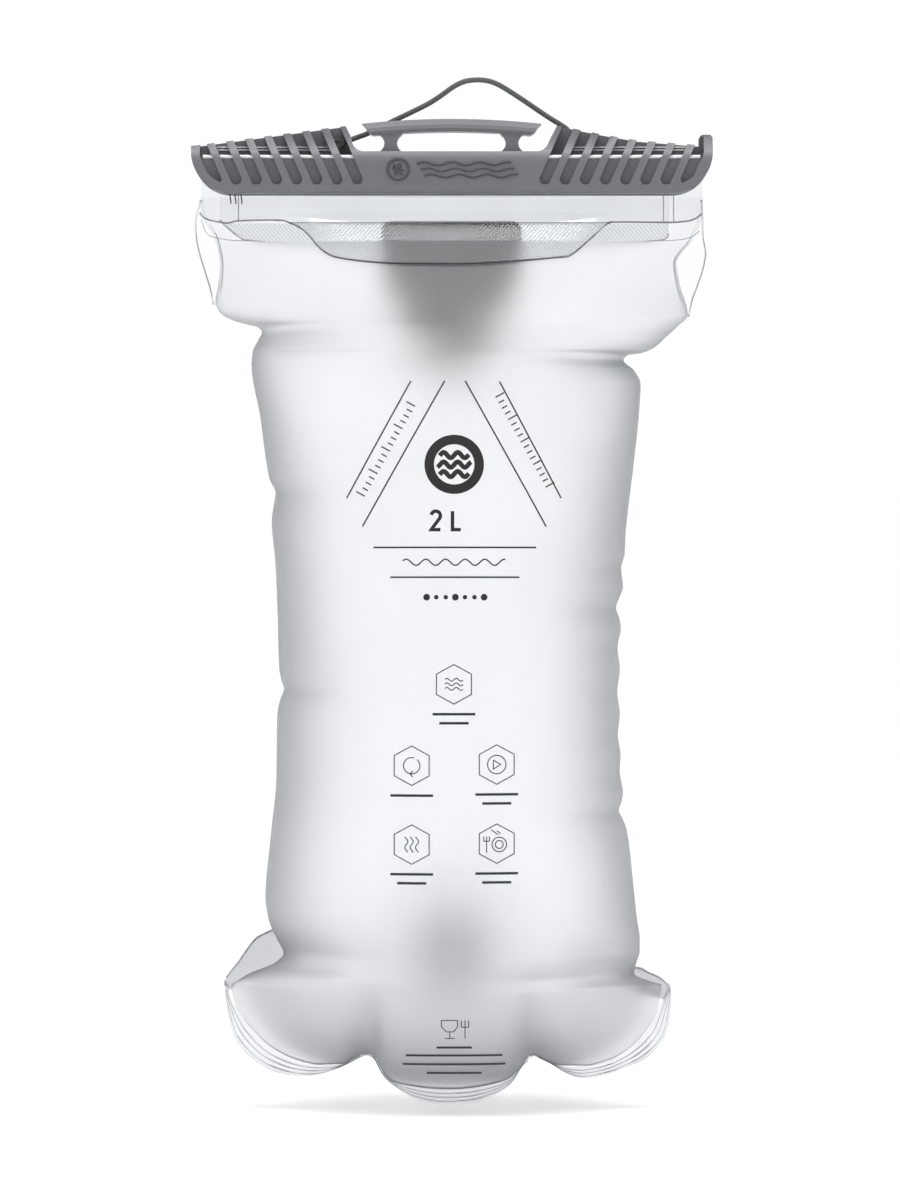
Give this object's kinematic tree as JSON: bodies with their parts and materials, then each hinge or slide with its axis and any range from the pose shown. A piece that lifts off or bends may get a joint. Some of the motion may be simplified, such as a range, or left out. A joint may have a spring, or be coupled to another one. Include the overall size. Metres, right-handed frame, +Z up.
{
  "type": "hydration bladder",
  "caption": "Soft welded film water reservoir with a slide-on top bar, arched grip, hanging cord, rear fill tab and a valved drinking-tube port.",
  "frame": {"origin": "hanging point: the peak of the cord loop on the slide bar, where a hook carries the bag", "axes": "+X across the bag towards the slide bar's end stop, +Y towards the bag's back, where the port is, +Z up"},
  "size_m": [0.1898, 0.0984, 0.3747],
  "materials": {
    "bar_plastic": "fine moulded texture, mid grey",
    "grip_plastic": "smooth satin, purplish grey",
    "cord_braid": "thin braided cord, dark grey",
    "frosted_film": "frosted translucent film",
    "clear_film": "clear glossy welded film",
    "rail_plastic": "satin, dark grey",
    "white_seal": "smooth, white",
    "handle_rubber": "soft moulded, dark grey",
    "flange_plastic": "satin, light grey",
    "port_plastic": "satin, charcoal",
    "black_rubber": "smooth, black",
    "spring_steel": "drawn wire"
  },
  "bodies": {
    "reservoir": {"front_film": "frosted_film", "rear_film": "frosted_film", "front_seal_strip": "clear_film", "rear_seal_strip": "clear_film", "front_rail": "rail_plastic", "rear_rail": "rail_plastic", "front_seal_bead": "white_seal", "rear_seal_bead": "white_seal", "left_shoulder_weld": "clear_film", "right_shoulder_weld": "clear_film", "bottom_weld": "clear_film", "rear_fill_handle": "handle_rubber", "port_flange": "flange_plastic", "port_body": "port_plastic", "port_oring": "black_rubber", "valve_cage": "flange_plastic", "valve_spring": "spring_steel", "button_spring": "spring_steel"},
    "slide_bar": {"slide_bar": "bar_plastic", "handle_grip": "grip_plastic", "hang_cord": "cord_braid", "cord_stop_left": "cord_braid", "cord_stop_right": "port_plastic"},
    "valve_poppet": {"valve_poppet": "flange_plastic", "poppet_seal": "black_rubber"},
    "release_button": {"release_button": "grip_plastic"}
  },
  "joints": [
    {"name": "bar_slide", "type": "slide", "parent": "reservoir", "child": "slide_bar", "axis": [1, 0, 0], "range_m": [0, 0.19]},
    {"name": "poppet_push", "type": "slide", "parent": "reservoir", "child": "valve_poppet", "axis": [0, -0.9135, 0.4067], "range_m": [0, 0.003], "stiffness_N_per_m": 600, "springref_m": -0.002, "deforming": ["valve_spring"]},
    {"name": "button_press", "type": "slide", "parent": "reservoir", "child": "release_button", "axis": [0, -0.4067, -0.9135], "range_m": [0, 0.0015], "stiffness_N_per_m": 1200, "springref_m": -0.001, "deforming": ["button_spring"]}
  ]
}
